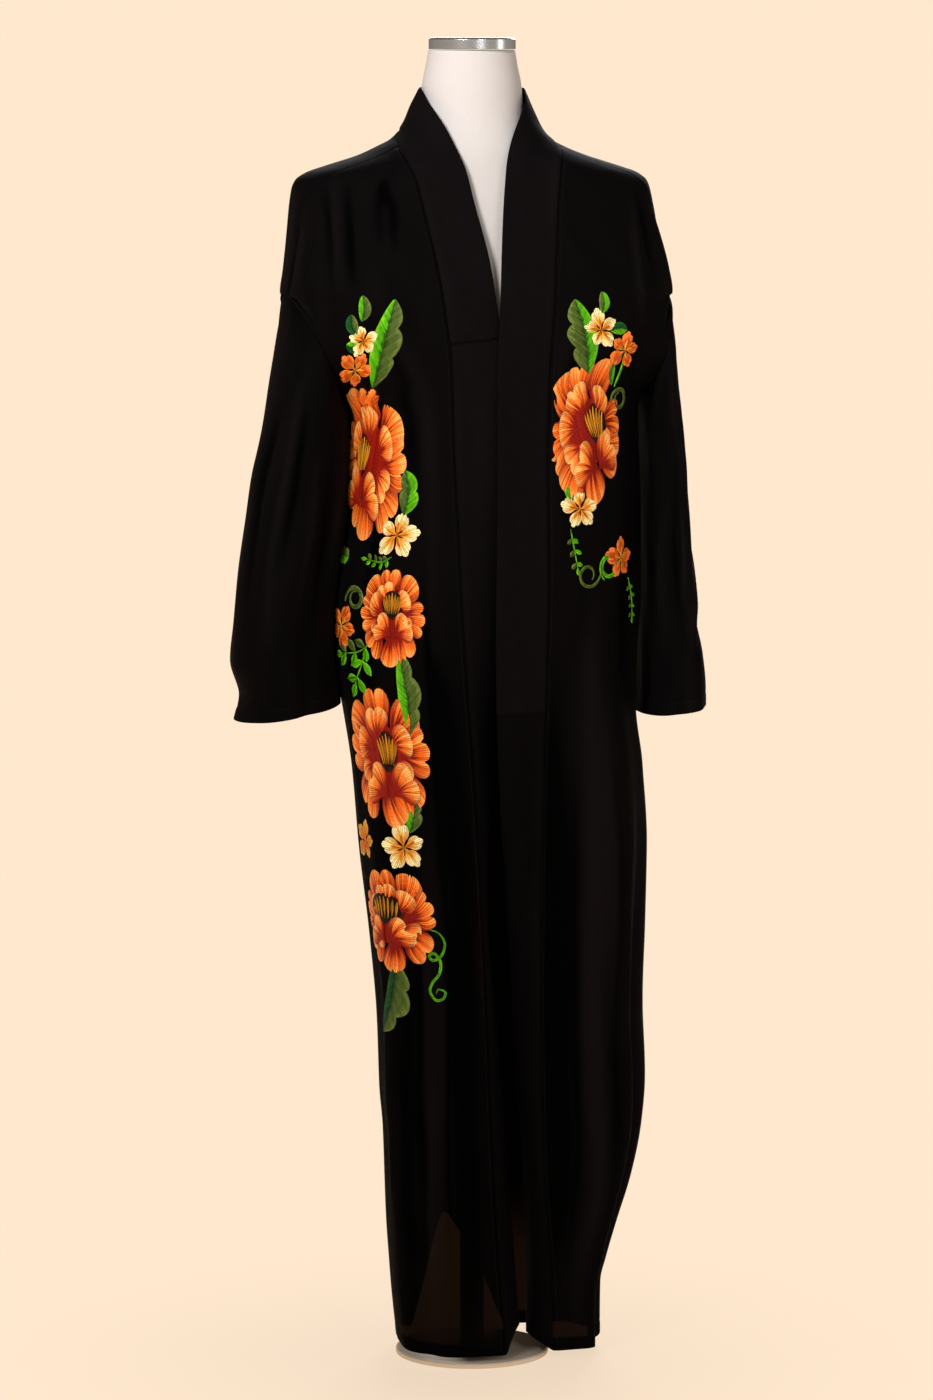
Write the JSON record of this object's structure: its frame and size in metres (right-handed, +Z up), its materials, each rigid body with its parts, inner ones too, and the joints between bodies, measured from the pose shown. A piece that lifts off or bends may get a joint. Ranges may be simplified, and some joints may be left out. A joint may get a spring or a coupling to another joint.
{
  "type": "kimono robe on dress form",
  "caption": "Long open kimono robe of black crepe with a wide neckband, long sleeves and embroidered flower sprays, worn by a plain limbless dress form on a stand.",
  "frame": {"origin": "centre of the stand base's underside, on the floor", "axes": "+Z up; the robe's front faces -Y and the wearer's left is +X"},
  "size_m": [0.5622, 0.2563, 1.542],
  "materials": {
    "crepe": "black viscose crepe, matt with a faint warm sheen",
    "linen": "cream linen, plain weave",
    "steel": "polished turned steel",
    "painted_steel": "cream powder coat",
    "thread": "satin-stitch embroidery thread in oranges, creams and greens"
  },
  "bodies": {
    "root": {"back": "crepe", "front_right": "crepe", "front_left": "crepe", "sleeve_right": "crepe", "sleeve_left": "crepe", "band_right_lower": "crepe", "band_neck": "crepe", "band_left_lower": "crepe", "form_body": "linen", "neck_cap": "steel", "form_pole": "painted_steel", "form_base": "painted_steel"}
  },
  "joints": []
}
